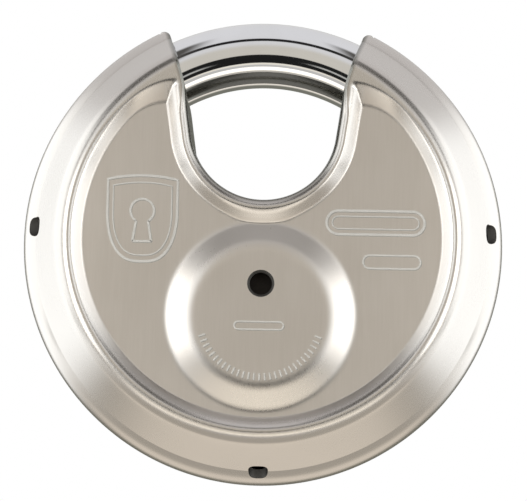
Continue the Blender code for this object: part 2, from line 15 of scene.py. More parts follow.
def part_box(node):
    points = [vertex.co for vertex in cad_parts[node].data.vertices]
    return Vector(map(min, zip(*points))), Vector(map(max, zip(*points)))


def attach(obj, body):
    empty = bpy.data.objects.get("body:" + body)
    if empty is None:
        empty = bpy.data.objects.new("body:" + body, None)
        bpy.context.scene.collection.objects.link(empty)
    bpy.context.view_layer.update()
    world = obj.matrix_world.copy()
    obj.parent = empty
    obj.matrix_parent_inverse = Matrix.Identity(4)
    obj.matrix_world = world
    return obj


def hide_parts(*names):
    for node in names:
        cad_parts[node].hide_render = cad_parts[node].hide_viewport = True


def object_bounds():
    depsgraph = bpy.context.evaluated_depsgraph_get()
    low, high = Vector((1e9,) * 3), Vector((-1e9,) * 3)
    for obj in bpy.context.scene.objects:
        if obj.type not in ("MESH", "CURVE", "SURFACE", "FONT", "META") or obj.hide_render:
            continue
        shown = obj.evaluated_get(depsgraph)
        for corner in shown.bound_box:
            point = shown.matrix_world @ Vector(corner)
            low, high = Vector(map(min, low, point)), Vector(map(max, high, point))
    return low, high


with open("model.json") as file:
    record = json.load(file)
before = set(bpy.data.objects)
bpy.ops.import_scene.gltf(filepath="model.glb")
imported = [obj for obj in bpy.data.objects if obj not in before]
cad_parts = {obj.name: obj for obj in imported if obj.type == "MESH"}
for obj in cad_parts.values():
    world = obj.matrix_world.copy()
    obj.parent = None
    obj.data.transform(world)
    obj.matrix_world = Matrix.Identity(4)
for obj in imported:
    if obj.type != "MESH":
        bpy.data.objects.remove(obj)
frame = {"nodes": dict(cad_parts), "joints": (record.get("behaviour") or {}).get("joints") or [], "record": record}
cad_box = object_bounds()

# ---------------------------------------------------------------- dimensions, millimetres
MM = 0.001
JOINTS = {joint["name"]: joint for joint in frame["joints"]}
DISC = Vector(JOINTS["shackle_turn"]["pos_m"])
PLUG_Z = (JOINTS["plug_turn"]["pos_m"][2] - DISC.z) / MM
SHELL_LOW, SHELL_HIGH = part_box("front_shell")
BODY_R = (SHELL_HIGH[0] - SHELL_LOW[0]) / 2 / MM
HALF_THICK = SHELL_HIGH[1] / MM

SHEET = 0.95             # visible sheet thickness
CROWN_ROUND = 2.4        # the rim rolls over from its crest into its cone
RIM = {-1: (27.55, math.radians(25.8)), 1: (26.81, math.radians(32))}    # crest radius and cone slope
CUP_EDGE = 4.6           # rounding of the front cup's edge
SEAM_DEPTH = 3.9         # the cover meets the cup here, on the rear side
SEAM_GAP = 0.09          # half the width of the visible seam
PANEL_DEPTH = 10.9
PANEL_TOP_Z = 19.3
PANEL_WALL = 1.6         # width of the wall from the panel up to the crest
HORN_WALL = 3.25         # and of the wall up to the horns
CREST_FLAT = 0.2         # flat top of the rim, inside its crown
WALL_BLEND = 1.1         # how softly those two walls run into each other
CREST_BLEND = (0.42, 0.14)       # rounding of the crest's inner edge, lower down and at the horns
CREST_BLEND_Z = (14.0, 20.0)
LIP_FOOT = 2.9           # raised lip round the opening: width at the panel, and at its crest
LIP_CREST = 1.35
LIP_SPREAD = 0.73        # the lip's foot is this much wider at the bottom of the opening
LIP_SPREAD_POWER = 13    # the higher, the nearer to the bottom that stays
LIP_BLEND = 0.5
MEET_BLEND = 0.15        # where the lip meets the wall
PANEL_BLEND = 0.14       # where every raised shape starts from the panel
BOSS_Z = -11.2           # centre of the round boss
BOSS_DEPTH = 12.1
BOSS_FOOT_R = 13.6
BOSS_TOP_R = 10.0
BOSS_BLEND = (0.30, 0.10)        # rounding of its top edge and its foot
NOTCH_R = 10.45          # the opening's round bottom
NOTCH_Z = 15.9
NOTCH_CORNER = np.array([11.45, 22.0])   # its sides turn outwards here, in a wide curve
NOTCH_CORNER_ROUND = 20.0
HORN_TIP_ANGLE = math.radians(24.5)      # from the top of the disc
HORN_TIP_ROUND = 1.3
ARC_R = 28.2             # the bar's centre line
BAR_R = 4.75
BAR_HOLE_R = 5.03        # the hole in each horn's end wall
BAR_END_ROUND = 0.9
FREE_END = math.radians(36)
ARC_LENGTH = math.radians(240)
DRAIN_R = 1.6            # the hole through the rear boss
DRAIN_SLOT = (1.42, 1.3)         # half width and half height
DRAIN_DEPTH = SEAM_DEPTH + 0.2
DRAIN_SQUARENESS = 0.7   # 1 is an ellipse, 0 a rectangle
DRAIN_ANGLES = (math.radians(-86.8), math.radians(86.8), math.pi)
PUNCH_R = (30.0, 37.0)   # the slots are punched from outside this far in
PLUG_HOLE_R = 5.25
TAIL_Y = -5.0            # behind this the plug is painted dark as shade

# etched ornament on the rear face
MARK_LIFT = 0.006        # the lines lie this far above the face
SHADOW_SHIFT = 0.11      # each line's shadow lies this far to its lower right, and this far below it
SHADOW_DROP = 0.004
SHIELD = (-17.2, 2.2)
SHIELD_LINES = ((5.0, 5.9, 0.34), (4.2, 5.0, 0.16))      # half width, half height, line width
KEYHOLE_R = 1.7
KEYHOLE_RISE = 1.4       # its round part's centre, above the shield's centre
KEYHOLE_FOOT = 3.0       # its foot, below that centre
KEYHOLE_HALVES = (0.85, 1.35)    # its half width at the top of the slot and at the foot
KEYHOLE_LINE = 0.30
BARS = (                 # centre, length, height, line width
    ((16.2, 2.4), 14.0, 3.4, 0.34), ((16.2, 2.4), 12.4, 1.8, 0.16),
    ((18.6, -3.2), 8.2, 1.9, 0.24), ((-0.2, -12.7), 7.0, 1.1, 0.20))
TICK_R = (8.3, 9.3)      # from the boss's centre
TICK_ANGLES = range(200, 341, 5)
TICK_LINE = 0.22

# the stud's slot in the bar, with the lock closed
SLOT_ANGLE = math.radians(31)
SLOT_R = (21.9, 26.8)
SLOT_HALF = 1.9
SLOT_Y = (-5.8, 0.0)

# how finely the shells are made
U_STEPS = 150            # along half the opening's outline
FACE_ROWS = 88
LIP_ROWS = 26
ROLL_STEPS = 8
WALL_STEPS = 7
LIP_BAND = 4.0           # how far from the opening the close rows reach
EDGE_ROLL = 1.35         # rounding of the lip into the opening's wall
HORN_ROLL = 0.42         # rounding of the horns' cut edges
SPLIT_R = 25.0           # on the outline, where the horn's flat end wall begins
PRESSED_R = 29.5         # outside this the rim is a plain turned shape
FLAT_R = 28.0            # inside this the horn's edge rolls straight down
SHARP_ANGLE = math.radians(40)   # bends sharper than this are shown as edges


def place(points, side):
    """Disc coordinates (x, depth, z) to the frame, in metres; side is -1 for the rear and 1 for the front."""
    points = np.asarray(points, float)
    out = np.empty_like(points)
    out[..., 0] = points[..., 0] * MM + DISC.x
    out[..., 1] = points[..., 1] * side * MM + DISC.y
    out[..., 2] = points[..., 2] * MM + DISC.z
    return out


# ---------------------------------------------------------------- the opening's outline
def unit(vector):
    return vector / np.linalg.norm(vector)


NOTCH_CENTRE = np.array([0.0, NOTCH_Z])
AWAY = NOTCH_CORNER - NOTCH_CENTRE
FLARE = math.atan2(AWAY[1], AWAY[0]) - math.acos(NOTCH_R / np.linalg.norm(AWAY))
HORN_TIP = BODY_R * np.array([math.sin(HORN_TIP_ANGLE), math.cos(HORN_TIP_ANGLE)])
SIDE_NORMAL = np.array([math.cos(FLARE), math.sin(FLARE)])
HORN_RUN = unit(HORN_TIP - NOTCH_CORNER)
HORN_NORMAL = np.array([HORN_RUN[1], -HORN_RUN[0]])


def outline_table():
    """The right half of the outline as dense points, the normals into the metal, and the radii."""
    points = []
    normals = []
    for turn in np.linspace(-math.pi / 2, FLARE, 260):
        normal = np.array([math.cos(turn), math.sin(turn)])
        points.append(NOTCH_CENTRE + NOTCH_R * normal)
        normals.append(normal)
    centre = NOTCH_CORNER + NOTCH_CORNER_ROUND * (SIDE_NORMAL + HORN_NORMAL) / (1 + SIDE_NORMAL @ HORN_NORMAL)
    horn_flare = math.atan2(HORN_NORMAL[1], HORN_NORMAL[0])
    for turn in np.linspace(FLARE, horn_flare, 60):
        normal = np.array([math.cos(turn), math.sin(turn)])
        points.append(centre - NOTCH_CORNER_ROUND * normal)
        normals.append(normal)
    start = centre - NOTCH_CORNER_ROUND * HORN_NORMAL
    middle = start + HORN_NORMAL * HORN_TIP_ROUND
    inner = BODY_R + 0.02 - HORN_TIP_ROUND
    along = middle @ HORN_RUN
    reach = -along + math.sqrt(along * along + inner * inner - middle @ middle)
    middle = middle + HORN_RUN * reach
    for travel in np.linspace(0.05, reach, 120):
        points.append(start + HORN_RUN * travel)
        normals.append(HORN_NORMAL)
    last_turn = math.atan2(-middle[1], -middle[0])
    for turn in np.linspace(horn_flare, last_turn, 40)[1:]:
        normal = np.array([math.cos(turn), math.sin(turn)])
        points.append(middle - HORN_TIP_ROUND * normal)
        normals.append(normal)
    points = np.array(points)
    steps = np.r_[0.0, np.cumsum(np.linalg.norm(np.diff(points, axis=0), axis=1))]
    return steps, points, np.array(normals)


OUT_S, OUT_P, OUT_N = outline_table()
RISING = OUT_P[:, 1] > NOTCH_Z


def outline_at(s):
    """Points and normals of the outline at lengths s."""
    s = np.asarray(s, float)
    point = np.stack([np.interp(s, OUT_S, OUT_P[:, i]) for i in (0, 1)], -1)
    normal = np.stack([np.interp(s, OUT_S, OUT_N[:, i]) for i in (0, 1)], -1)
    return point, normal / np.linalg.norm(normal, axis=-1, keepdims=True)


def outline_s(radius, offset=0.0):
    """Length along the outline where it, offset into the metal, is at a radius from the disc's centre."""
    shifted = OUT_P + OUT_N * np.reshape(offset, (-1, 1))
    radii = np.linalg.norm(shifted, axis=1)
    return np.interp(radius, radii[RISING], OUT_S[RISING])


S_SPLIT = float(outline_s(SPLIT_R))


def roll_at(s):
    """Size of the rounded edge along the outline: full round the opening, small at the horns."""
    change = 5.0
    share = np.clip((s - S_SPLIT) / change + 1.0, 0.0, 1.0)
    return EDGE_ROLL + (HORN_ROLL - EDGE_ROLL) * share * share * (3 - 2 * share)


ROLL_TABLE = roll_at(OUT_S)


def metal_distance(x, z):
    """Distance from the opening's edge into the metal."""
    point = np.stack([np.abs(x), z], -1)
    from_centre = point - NOTCH_CENTRE
    round_part = np.linalg.norm(from_centre, axis=-1) - NOTCH_R
    from_corner = point - NOTCH_CORNER
    straight = np.minimum(from_corner @ SIDE_NORMAL, from_corner @ HORN_NORMAL)
    along = from_centre @ np.array([-SIDE_NORMAL[1], SIDE_NORMAL[0]])
    return np.where(along < 0, round_part, straight)


# ---------------------------------------------------------------- the pressed faces
def soft_max(a, b, blend):
    share = np.clip(0.5 + 0.5 * (a - b) / blend, 0.0, 1.0)
    return b + (a - b) * share + blend * share * (1 - share)


def soft_min(a, b, blend):
    return -soft_max(-a, -b, blend)


def cone_depth(radius, side):
    """Depth of the rim at a radius, from its flat top over the crown and down the cone."""
    crest_r, slope = RIM[side]
    cosine, sine = math.cos(slope), math.sin(slope)
    line = HALF_THICK - CROWN_ROUND * (1 - sine) - (radius - crest_r - CROWN_ROUND * cosine) * cosine / sine
    inside = np.clip(radius - crest_r, 0.0, CROWN_ROUND * cosine)
    crown = HALF_THICK - CROWN_ROUND + np.sqrt(CROWN_ROUND ** 2 - inside ** 2)
    return np.where(radius > crest_r + CROWN_ROUND * cosine, line, crown)


def face_depth(x, z, side):
    """Depth of the pressed face at a point, with every bend rounded."""
    radius = np.hypot(x, z)
    crest = HALF_THICK - PANEL_DEPTH
    panel_r = RIM[side][0] - CREST_FLAT - PANEL_WALL
    wall = crest * soft_max((radius - panel_r) / PANEL_WALL, (z - PANEL_TOP_Z) / HORN_WALL, WALL_BLEND)
    wall = soft_min(wall, crest, np.interp(z, CREST_BLEND_Z, CREST_BLEND))
    below = np.clip((NOTCH_Z - z) / np.maximum(np.hypot(x, z - NOTCH_Z), 1.0), 0.0, 1.0)
    foot = LIP_FOOT + LIP_SPREAD * below ** LIP_SPREAD_POWER
    lip = (foot - metal_distance(x, z)) / ((foot - LIP_CREST) / crest)
    lip = soft_min(lip, crest, LIP_BLEND)
    rise = np.minimum(soft_max(wall, lip, MEET_BLEND), crest)
    boss_run = (BOSS_FOOT_R - BOSS_TOP_R) / (BOSS_DEPTH - PANEL_DEPTH)
    boss = (BOSS_FOOT_R - np.hypot(x, z - BOSS_Z)) / boss_run
    boss = soft_min(boss, BOSS_DEPTH - PANEL_DEPTH, BOSS_BLEND[0])
    rise = soft_max(soft_max(rise, boss, BOSS_BLEND[1]), 0.0, PANEL_BLEND)
    return np.minimum(PANEL_DEPTH + rise, cone_depth(radius, side))


class Patches:
    """Grids and loops of points that are welded into one mesh."""

    def __init__(self):
        self.points = []
        self.faces = []

    def add(self, points):
        start = len(self.points)
        self.points.extend(np.asarray(points, float).reshape(-1, 3).tolist())
        return start

    def grid(self, rows, flip=False):
        """Add quads between neighbouring points of an array (rows, columns, 3)."""
        count, across = rows.shape[:2]
        start = self.add(rows)
        for i in range(count - 1):
            for j in range(across - 1):
                a = start + i * across + j
                quad = (a, a + 1, a + across + 1, a + across)
                self.faces.append(quad[::-1] if flip else quad)

    def loop(self, points):
        start = self.add(points)
        self.faces.append(tuple(range(start, start + len(points))))


def rim_rows(side, start_radius):
    """Radii, depths and slopes of the rim's rings, from the face over the crown to the seam."""
    crest_r, slope = RIM[side]
    cosine, sine = math.cos(slope), math.sin(slope)
    crown_end = crest_r + CROWN_ROUND * cosine
    crown = crest_r + CROWN_ROUND * np.sin(np.linspace(0.0, math.pi / 2 - slope, 16)[1:])
    inner = np.r_[np.linspace(start_radius, crest_r, 30), crown]
    if side < 0:
        end_depth = SEAM_DEPTH + SEAM_GAP
        end = crown_end + (float(cone_depth(crown_end, side)) - end_depth) * sine / cosine
        outer = np.linspace(crown_end, end, 9)[1:]
        radii = np.r_[inner, outer]
        depths = cone_depth(radii, side)
        lean = [(cosine, sine)] * len(radii)
    else:
        edge_r = BODY_R - CUP_EDGE
        cone_end = edge_r + CUP_EDGE * cosine
        curl = math.asin((SEAM_DEPTH - SEAM_GAP) / CUP_EDGE)
        cone = np.linspace(crown_end, cone_end, 9)[1:]
        turns = np.r_[np.linspace(slope, 0.0, 8)[1:], np.linspace(0.0, -curl, 11)[1:]]
        radii = np.r_[inner, cone, edge_r + CUP_EDGE * np.cos(turns)]
        depths = np.r_[cone_depth(np.r_[inner, cone], side), CUP_EDGE * np.sin(turns)]
        lean = [(cosine, sine)] * (len(inner) + len(cone)) + [(math.cos(t), math.sin(t)) for t in turns]
    lean = np.array(lean)
    lean[radii < FLAT_R] = (0.0, 1.0)
    return radii, depths, lean


def spots(flat, depth):
    """Points in the disc's coordinates from (x, z) pairs and depths."""
    return np.stack([flat[:, 0], depth, flat[:, 1]], -1)


def face_rows(side, start, split_radius, split_angle):
    """Straight runs from the lip to a ring, closely spaced over the lip."""
    angles = np.linspace(math.pi, split_angle, U_STEPS + 1)
    run = split_radius * np.stack([np.sin(angles), np.cos(angles)], -1) - start
    length = np.linalg.norm(run, axis=1)
    near = np.minimum(LIP_BAND / np.maximum(length, 1e-6), LIP_ROWS / (LIP_ROWS + FACE_ROWS))
    rows = []
    for row in range(LIP_ROWS + FACE_ROWS + 1):
        if row <= LIP_ROWS:
            share = near * row / LIP_ROWS
        else:
            share = near + (1 - near) * (row - LIP_ROWS) / FACE_ROWS
        spot = start + run * share[:, None]
        rows.append(spots(spot, face_depth(spot[:, 0], spot[:, 1], side)))
    return np.array(rows)


def rim_grid(side, radii, depths, rim_start):
    """Rings from the face over the crown and the cone to the seam."""
    share = np.linspace(0.0, 1.0, U_STEPS + 1)
    rows = []
    for radius, ring_depth, end in zip(radii, depths, rim_start):
        angle = math.pi + (math.atan2(end[0], end[1]) - math.pi) * share
        flat = radius * np.stack([np.sin(angle), np.cos(angle)], -1)
        pressed = radius < PRESSED_R
        depth = face_depth(flat[:, 0], flat[:, 1], side) if pressed else np.full_like(share, ring_depth)
        rows.append(spots(flat, depth))
    return np.array(rows)


def lip_roll(base, normal, roll, top):
    """The lip's rounded edge, from the face down into the opening."""
    rows = []
    for turn in np.linspace(0.0, math.pi / 2, ROLL_STEPS):
        spot = base + normal * (roll * (1 - math.sin(turn)))[:, None]
        rows.append(spots(spot, top - roll * (1 - math.cos(turn))))
    return np.array(rows)


def opening_walls(side, base, top):
    """The opening's wall down to the seam, left open where the bar passes."""
    hole = hole_half_height(np.linalg.norm(base, axis=1))
    if side < 0:
        spans = [(top, np.maximum(hole, SEAM_DEPTH + SEAM_GAP))]
    else:
        foot = np.full_like(hole, -(SEAM_DEPTH - SEAM_GAP))
        spans = [(top, hole), (-hole, np.minimum(foot, -hole))]
    shares = np.linspace(0.0, 1.0, WALL_STEPS)
    for high, low in spans:
        yield np.array([spots(base, high + (low - high) * share) for share in shares])


def horn_roll(rim_base, rim_roll, rim_depth, lean):
    """The small rounding of the horn's cut edge."""
    base_radius = np.linalg.norm(rim_base, axis=1)
    rows = []
    for turn in np.linspace(0.0, math.pi / 2, ROLL_STEPS):
        sink = rim_roll * (1 - math.cos(turn))
        spot, normal = outline_at(outline_s(base_radius - sink * lean[:, 0]))
        spot = spot + normal * (rim_roll * (1 - math.sin(turn)))[:, None]
        rows.append(spots(spot, rim_depth - sink * lean[:, 1]))
    return np.array(rows)


def shell_half(side):
    """The right half of one shell's outer surface."""
    s_line = np.linspace(0.0, S_SPLIT, U_STEPS + 1)
    base, normal = outline_at(s_line)
    roll = roll_at(s_line)
    start = base + normal * roll[:, None]
    split_radius = float(np.linalg.norm(start[-1]))
    patches = Patches()
    patches.grid(face_rows(side, start, split_radius, math.atan2(start[-1][0], start[-1][1])))

    radii, depths, lean = rim_rows(side, split_radius)
    s_rim = outline_s(radii, ROLL_TABLE)
    s_rim[0] = S_SPLIT
    rim_base, rim_normal = outline_at(s_rim)
    rim_roll = roll_at(s_rim)
    rim = rim_grid(side, radii, depths, rim_base + rim_normal * rim_roll[:, None])
    patches.grid(rim)

    top = face_depth(start[:, 0], start[:, 1], side)
    patches.grid(lip_roll(base, normal, roll, top), flip=True)
    for wall in opening_walls(side, base, top - roll):
        patches.grid(wall, flip=True)

    horn = horn_roll(rim_base, rim_roll, rim[:, -1, 1], lean)
    patches.grid(horn, flip=True)
    patches.loop(end_wall(horn[-1], side))
    return patches


def hole_half_height(radius):
    return np.sqrt(np.maximum(BAR_HOLE_R ** 2 - (radius - ARC_R) ** 2, 0.0))


def end_wall(edge, side):
    """Outline of the horn's end wall: the rolled edge, then back along the seam and round the bar's hole."""
    seam = SEAM_DEPTH + SEAM_GAP if side < 0 else -(SEAM_DEPTH - SEAM_GAP)
    reach = math.sqrt(BAR_HOLE_R ** 2 - seam ** 2)
    start_turn = math.atan2(seam, reach)
    first = np.linalg.norm([edge[0][0], edge[0][2]])
    if side < 0:
        end_turn = math.pi - start_turn
    else:
        end_turn = math.acos((first - ARC_R) / BAR_HOLE_R)
    trail = []
    for turn in np.linspace(start_turn, end_turn, 26):
        radius = ARC_R + BAR_HOLE_R * math.cos(turn)
        spot, _ = outline_at(outline_s(radius))
        trail.append((spot[0], BAR_HOLE_R * math.sin(turn), spot[1]))
    if side < 0:
        trail.append((edge[0][0], seam, edge[0][2]))
    return np.array(list(edge) + trail)


def shell_surface(name, side):
    """Both halves of one shell's outer surface as a mesh, welded and facing out."""
    patches = shell_half(side)
    half = place(patches.points, side)
    mirrored = half.copy()
    mirrored[:, 0] = 2 * DISC.x - mirrored[:, 0]
    count = len(half)
    faces = patches.faces + [tuple(i + count for i in face[::-1]) for face in patches.faces]
    mesh = bpy.data.meshes.new(name)
    mesh.from_pydata(np.vstack([half, mirrored]).tolist(), [], faces)
    bm = bmesh.new()
    bm.from_mesh(mesh)
    bmesh.ops.remove_doubles(bm, verts=bm.verts, dist=0.004 * MM)
    bmesh.ops.dissolve_degenerate(bm, dist=0.002 * MM, edges=bm.edges)
    bmesh.ops.triangulate(bm, faces=[f for f in bm.faces if len(f.verts) > 4])
    bmesh.ops.recalc_face_normals(bm, faces=bm.faces)
    outermost = max(bm.faces, key=lambda face: face.calc_center_median().y * side)
    if outermost.normal.y * side < 0:
        bmesh.ops.reverse_faces(bm, faces=bm.faces)
    bm.to_mesh(mesh)
    bm.free()
    return mesh


def build_shell(name, side, cutters, finishes):
    """One pressing: its outer surface given the sheet's thickness, then punched."""
    mesh = shell_surface(name, side)
    for finish in finishes:
        mesh.materials.append(finish)
    shell = bpy.data.objects.new(name, mesh)
    bpy.context.scene.collection.objects.link(shell)
    solid = shell.modifiers.new("sheet", "SOLIDIFY")
    solid.thickness = SHEET * MM
    solid.offset = -1.0
    # the inner side and the sheet's cut edges take the second finish, painted near black as shade
    solid.material_offset = 1
    apply_modifiers(shell)
    for vertex in shell.data.vertices:
        reach = (vertex.co.y - DISC.y) * side
        vertex.co.y = DISC.y + side * min(reach, HALF_THICK * MM)
    punch = merged("punch", cutters)
    for finish in finishes:
        punch.data.materials.append(finish)
    # the punched holes' walls also get that painted shade
    for face in punch.data.polygons:
        face.material_index = 1
    subtract(shell, punch)
    shell.data.shade_smooth()
    shell.data.set_sharp_from_angle(angle=SHARP_ANGLE)
    mark_places(shell.data)
    return shell


def mark_places(mesh):
    """Store on every point how far it is from the opening's edge (mm) and how much it has been polished."""
    coords = np.empty(len(mesh.vertices) * 3)
    mesh.vertices.foreach_get("co", coords)
    coords = coords.reshape(-1, 3)
    x, z = (coords[:, 0] - DISC.x) / MM, (coords[:, 2] - DISC.z) / MM
    edge = metal_distance(x, z)
    # polished: the rim from a radius of 25.2 on, the lip's 3.4, and 2.4 either side of the ring's middle
    rim = np.clip((np.hypot(x, z) - 25.2) / 1.6, 0, 1)
    lip = np.clip((3.4 - edge) / 0.8, 0, 1)
    ring_middle = (BOSS_FOOT_R + BOSS_TOP_R) / 2
    ring = 0.8 * np.clip((2.4 - abs(np.hypot(x, z - BOSS_Z) - ring_middle)) / 0.5, 0, 1)
    polish = np.maximum(np.maximum(rim, lip), ring)
    for name, values in (("edge", edge), ("polish", polish)):
        mesh.attributes.new(name, "FLOAT", "POINT").data.foreach_set("value", values)


def merged(name, pieces):
    """One object made of several separate ones, which are removed."""
    bm = bmesh.new()
    for piece in pieces:
        bm.from_mesh(piece.data)
        bpy.data.objects.remove(piece)
    bmesh.ops.recalc_face_normals(bm, faces=bm.faces)
    mesh = bpy.data.meshes.new(name)
    bm.to_mesh(mesh)
    bm.free()
    whole = bpy.data.objects.new(name, mesh)
    bpy.context.scene.collection.objects.link(whole)
    return whole


def subtract(target, cutter):
    boolean = target.modifiers.new("cut", "BOOLEAN")
    boolean.operation = "DIFFERENCE"
    boolean.solver = "EXACT"
    boolean.object = cutter
    apply_modifiers(target)
    bpy.data.objects.remove(cutter)


def apply_modifiers(obj):
    bpy.context.view_layer.update()
    depsgraph = bpy.context.evaluated_depsgraph_get()
    mesh = bpy.data.meshes.new_from_object(obj.evaluated_get(depsgraph))
    obj.modifiers.clear()
    obj.data = mesh


# ---------------------------------------------------------------- etched marks
def ribbon(path, width, points, faces, closed=False):
    """Add a flat line of even width that lies on the rear face along a path of (x, z) points."""
    path = np.asarray(path, float)
    ahead = np.roll(path, -1, axis=0) - path
    behind = path - np.roll(path, 1, axis=0)
    if not closed:
        ahead[-1], behind[0] = behind[-1], ahead[0]
    along = ahead / np.linalg.norm(ahead, axis=1)[:, None] + behind / np.linalg.norm(behind, axis=1)[:, None]
    along /= np.linalg.norm(along, axis=1)[:, None]
    beside = np.column_stack([along[:, 1], -along[:, 0]])
    first = len(points)
    for spot, off in zip(path, beside):
        for x, z in (spot - off * width / 2, spot + off * width / 2):
            points.append((x, float(face_depth(np.array(x), np.array(z), -1)) + MARK_LIFT, z))
    count = len(path)
    for i in range(count if closed else count - 1):
        a, b = first + 2 * i, first + 2 * ((i + 1) % count)
        faces.append([a, a + 1, b + 1, b])


def arc(centre, radius, start, end, steps=24):
    return [(centre[0] + radius * math.cos(t), centre[1] + radius * math.sin(t))
            for t in np.linspace(start, end, steps)]


def capsule(centre, length, height):
    half = length / 2 - height / 2
    right = arc((centre[0] + half, centre[1]), height / 2, -math.pi / 2, math.pi / 2)
    left = arc((centre[0] - half, centre[1]), height / 2, math.pi / 2, math.pi * 1.5)
    return right + left


def shield(centre, half_width, half_height):
    """A plain shield: a slightly arched top and two sides that curve down to a point."""
    x, z = centre
    top = [(x + half_width * t, z + half_height * (1.0 + 0.10 * (1 - t * t))) for t in np.linspace(-1, 1, 15)]
    side = [(half_width * math.cos(t) ** 0.7, half_height * (0.2 - 1.2 * math.sin(t)))
            for t in np.linspace(0, math.pi / 2 * 0.995, 20)]
    right = [(x + a, z + b) for a, b in side]
    left = [(x - a, z + b) for a, b in reversed(side)]
    return top + right + left


def make_marks(etched, shadow):
    """Plain ornament: a shield with a keyhole, outlined bars, and a ring of ticks on the boss."""
    points = []
    faces = []
    x, z = SHIELD
    for half_width, half_height, line in SHIELD_LINES:
        ribbon(shield(SHIELD, half_width, half_height), line, points, faces, closed=True)
    keyhole = arc((x, z + KEYHOLE_RISE), KEYHOLE_R, -math.pi * 0.33, math.pi * 1.33)
    ribbon(keyhole, KEYHOLE_LINE, points, faces)
    neck, foot = KEYHOLE_HALVES
    low = z - KEYHOLE_FOOT
    for side in (-1, 1):
        ribbon([(x + side * neck, z - 0.05), (x + side * foot, low)], KEYHOLE_LINE, points, faces)
    ribbon([(x - foot, low), (x + foot, low)], KEYHOLE_LINE, points, faces)
    for centre, length, height, line in BARS:
        ribbon(capsule(centre, length, height), line, points, faces, closed=True)
    for turn in np.radians(TICK_ANGLES):
        tick = [(math.cos(turn) * r, BOSS_Z + math.sin(turn) * r) for r in TICK_R]
        ribbon(tick, TICK_LINE, points, faces)
    moved = np.array(points) + (SHADOW_SHIFT, 0.0, -SHADOW_SHIFT)
    raised = np.array(points) + (0.0, SHADOW_DROP, 0.0)
    for name, finish, lines in (("etched_shadow", shadow, moved), ("etched_marks", etched, raised)):
        show(new_object(name, place(lines, -1), faces), "case", finish, "brushed_stainless")


# ---------------------------------------------------------------- turned and swept shapes
def new_object(name, points, faces):
    mesh = bpy.data.meshes.new(name)
    mesh.from_pydata([tuple(p) for p in points], [], faces)
    bm = bmesh.new()
    bm.from_mesh(mesh)
    bmesh.ops.recalc_face_normals(bm, faces=bm.faces)
    bm.to_mesh(mesh)
    bm.free()
    mesh.shade_smooth()
    mesh.set_sharp_from_angle(angle=SHARP_ANGLE)
    obj = bpy.data.objects.new(name, mesh)
    bpy.context.scene.collection.objects.link(obj)
    return obj


def turned(name, profile, side, centre, steps):
    """A solid turned about a line along the disc's axis, from (radius, depth) points; it ends on the line."""
    points = []
    faces = []
    rings = []
    for radius, depth in profile:
        if radius == 0.0:
            rings.append([len(points)])
            points.append((centre[0], depth, centre[1]))
            continue
        rings.append(list(range(len(points), len(points) + steps)))
        for step in range(steps):
            turn = 2 * math.pi * step / steps
            points.append((centre[0] + radius * math.sin(turn), depth, centre[1] + radius * math.cos(turn)))
    for ring, following in zip(rings, rings[1:]):
        for step in range(steps):
            after = (step + 1) % steps
            corners = [ring[step % len(ring)], ring[after % len(ring)]]
            corners += [following[after % len(following)], following[step % len(following)]]
            faces.append(list(dict.fromkeys(corners)))
    return new_object(name, place(points, side), faces)


def hole_cutter(name, radius, side, sink, flare, steps):
    """A cutter for a round hole through the boss, in line with the plug, with a countersunk edge."""
    over = BOSS_DEPTH + 2.0
    profile = [(0.0, 5.0), (radius, 5.0), (radius, BOSS_DEPTH - sink), (radius + flare, BOSS_DEPTH + 0.1),
               (radius + flare, over), (0.0, over)]
    return turned(name, profile, side, (0.0, PLUG_Z), steps)


def drain_cutter(angle):
    """A rounded slot punched inwards across the seam."""
    steps = 40
    out = np.array([math.sin(angle), math.cos(angle)])
    along = np.array([out[1], -out[0]])

    def squared(value):
        return math.copysign(abs(value) ** DRAIN_SQUARENESS, value)

    points = []
    for reach in PUNCH_R:
        for step in range(steps):
            turn = 2 * math.pi * step / steps
            spot = out * reach + along * squared(math.cos(turn)) * DRAIN_SLOT[0]
            points.append((spot[0], DRAIN_DEPTH + squared(math.sin(turn)) * DRAIN_SLOT[1], spot[1]))
    faces = [list(range(steps)), list(range(steps, 2 * steps))]
    for step in range(steps):
        after = (step + 1) % steps
        faces.append([step, after, steps + after, steps + step])
    return new_object("drain_cutter", place(points, -1), faces)


def bar_sweep(name, start, length, radius, steps, sides):
    """The shackle's bar with softly rounded ends."""
    head = [(BAR_END_ROUND * (1 - math.sin(turn)) / ARC_R, radius - BAR_END_ROUND * (1 - math.cos(turn)))
            for turn in np.linspace(math.pi / 2, 0.0, 7)]
    first = head[-1][0]
    body = [(first + (length - 2 * first) * step / steps, radius) for step in range(1, steps)]
    tail = [(length - travel, reach) for travel, reach in reversed(head)]
    points = []
    for travel, reach in head + body + tail:
        angle = start - travel
        for side in range(sides):
            turn = 2 * math.pi * side / sides
            distance = ARC_R + reach * math.cos(turn)
            points.append((distance * math.sin(angle), reach * math.sin(turn), distance * math.cos(angle)))
    count = len(points) // sides
    faces = [list(range(sides)), list(range((count - 1) * sides, count * sides))]
    for i in range(count - 1):
        here = i * sides
        there = here + sides
        for side in range(sides):
            after = (side + 1) % sides
            faces.append([here + side, here + after, there + after, there + side])
    return new_object(name, place(points, 1), faces)


def stud_slot():
    """A cutter for the slot in the bar's inner side that takes the driver cam's stud."""
    angle = math.pi + SLOT_ANGLE
    radial = np.array([math.sin(angle), math.cos(angle)])
    beside = np.array([math.cos(angle), -math.sin(angle)])
    near, far = SLOT_R
    corners = ((near, -SLOT_HALF), (near, SLOT_HALF), (far, SLOT_HALF), (far, -SLOT_HALF))
    points = []
    for y in SLOT_Y:
        for reach, half in corners:
            spot = radial * reach + beside * half
            points.append((spot[0], y, spot[1]))
    sides = [[i, (i + 1) % 4, (i + 1) % 4 + 4, i + 4] for i in range(4)]
    return new_object("slot_cutter", place(points, 1), [[0, 1, 2, 3], [4, 5, 6, 7]] + sides)


